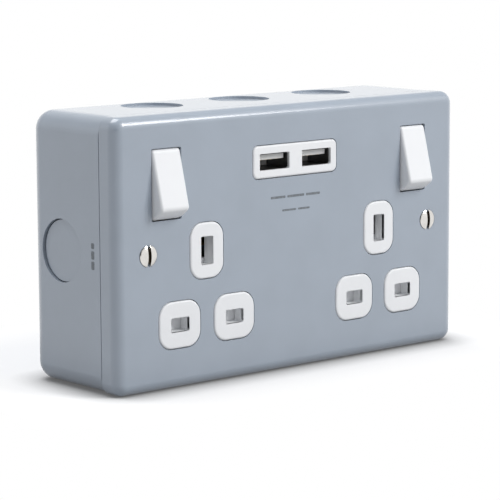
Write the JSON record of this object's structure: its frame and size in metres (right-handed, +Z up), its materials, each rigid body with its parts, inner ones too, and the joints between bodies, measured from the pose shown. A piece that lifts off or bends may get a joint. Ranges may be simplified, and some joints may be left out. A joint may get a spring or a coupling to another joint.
{
  "type": "usb wall socket",
  "caption": "Metal-clad surface-mounted double wall socket with rocker switches, sprung shutters and USB charging ports in a knock-out box.",
  "frame": {"origin": "centre of the box's flat back face, which goes against the wall", "axes": "+Z up, +X to the right as seen from the front, the front looks along -Y"},
  "size_m": [0.146, 0.0486, 0.086],
  "materials": {
    "painted_steel": "satin blue-grey paint",
    "white_moulding": "glossy moulded",
    "rear_moulding": "matt moulded",
    "zinc_steel": "zinc plated",
    "nickel": "bright nickel plated",
    "brass": "rolled brass",
    "port_metal": "tinned sheet",
    "port_tongue": "moulded with gilt contacts",
    "circuit_board": "solder resist",
    "ferrite": "ferrite core",
    "capacitor": "sleeved can",
    "spring_steel": "drawn wire"
  },
  "bodies": {
    "root": {"cover_plate": "painted_steel", "back_box": "painted_steel", "box_lug_left": "zinc_steel", "box_lug_right": "zinc_steel", "box_earth_terminal": "brass", "box_earth_screw": "brass", "front_moulding": "white_moulding", "rear_moulding": "rear_moulding", "assembly_screws": "zinc_steel", "fixing_screw_left": "nickel", "fixing_screw_right": "nickel", "earth_strap": "brass", "neutral_strap": "brass", "live_bus": "brass", "live_contact_left": "brass", "live_contact_right": "brass", "terminal_live": "brass", "terminal_neutral": "brass", "terminal_earth": "brass", "terminal_screw_live": "brass", "terminal_screw_neutral": "brass", "terminal_screw_earth": "brass", "usb_housing": "white_moulding", "usb_back_cover": "rear_moulding", "usb_board": "circuit_board", "usb_transformer": "ferrite", "usb_capacitors": "capacitor", "usb_shell_left": "port_metal", "usb_shell_right": "port_metal", "usb_tongue_left": "port_tongue", "usb_tongue_right": "port_tongue", "usb_contacts_left": "brass", "usb_contacts_right": "brass", "shutter_spring_left": "spring_steel", "shutter_spring_right": "spring_steel"},
    "rocker_left": {"rocker_left": "white_moulding", "plunger_spring_left": "spring_steel"},
    "plunger_left": {"plunger_left": "white_moulding"},
    "contact_arm_left": {"contact_arm_left": "brass"},
    "shutter_left": {"shutter_left": "white_moulding"},
    "rocker_right": {"rocker_right": "white_moulding", "plunger_spring_right": "spring_steel"},
    "plunger_right": {"plunger_right": "white_moulding"},
    "contact_arm_right": {"contact_arm_right": "brass"},
    "shutter_right": {"shutter_right": "white_moulding"}
  },
  "joints": [
    {"name": "rocker_left_tilt", "type": "hinge", "parent": "root", "child": "rocker_left", "pos_m": [-0.053, -0.04, 0.0216], "axis": [1, 0, 0], "range_deg": [0, 29]},
    {"name": "plunger_left_slide", "type": "slide", "parent": "rocker_left", "child": "plunger_left", "axis": [0, -0.9681, 0.2504], "range_m": [0, 0.0012], "stiffness_N_per_m": 400, "springref_m": -0.002, "deforming": ["plunger_spring_left"]},
    {"name": "contact_arm_left_rock", "type": "hinge", "parent": "root", "child": "contact_arm_left", "pos_m": [-0.053, -0.0236, 0.0216], "axis": [1, 0, 0], "range_deg": [-14, 0]},
    {"name": "shutter_left_slide", "type": "slide", "parent": "root", "child": "shutter_left", "axis": [0, 0, -1], "range_m": [0, 0.0054], "stiffness_N_per_m": 100, "springref_m": -0.004, "deforming": ["shutter_spring_left"]},
    {"name": "rocker_right_tilt", "type": "hinge", "parent": "root", "child": "rocker_right", "pos_m": [0.053, -0.04, 0.0216], "axis": [1, 0, 0], "range_deg": [0, 29]},
    {"name": "plunger_right_slide", "type": "slide", "parent": "rocker_right", "child": "plunger_right", "axis": [0, -0.9681, 0.2504], "range_m": [0, 0.0012], "stiffness_N_per_m": 400, "springref_m": -0.002, "deforming": ["plunger_spring_right"]},
    {"name": "contact_arm_right_rock", "type": "hinge", "parent": "root", "child": "contact_arm_right", "pos_m": [0.053, -0.0236, 0.0216], "axis": [1, 0, 0], "range_deg": [-14, 0]},
    {"name": "shutter_right_slide", "type": "slide", "parent": "root", "child": "shutter_right", "axis": [0, 0, -1], "range_m": [0, 0.0054], "stiffness_N_per_m": 100, "springref_m": -0.004, "deforming": ["shutter_spring_right"]}
  ],
  "couplings": [
    {"joint": "contact_arm_left_rock", "follows": "rocker_left_tilt", "ratio": -0.48276},
    {"joint": "contact_arm_right_rock", "follows": "rocker_right_tilt", "ratio": -0.48276}
  ]
}
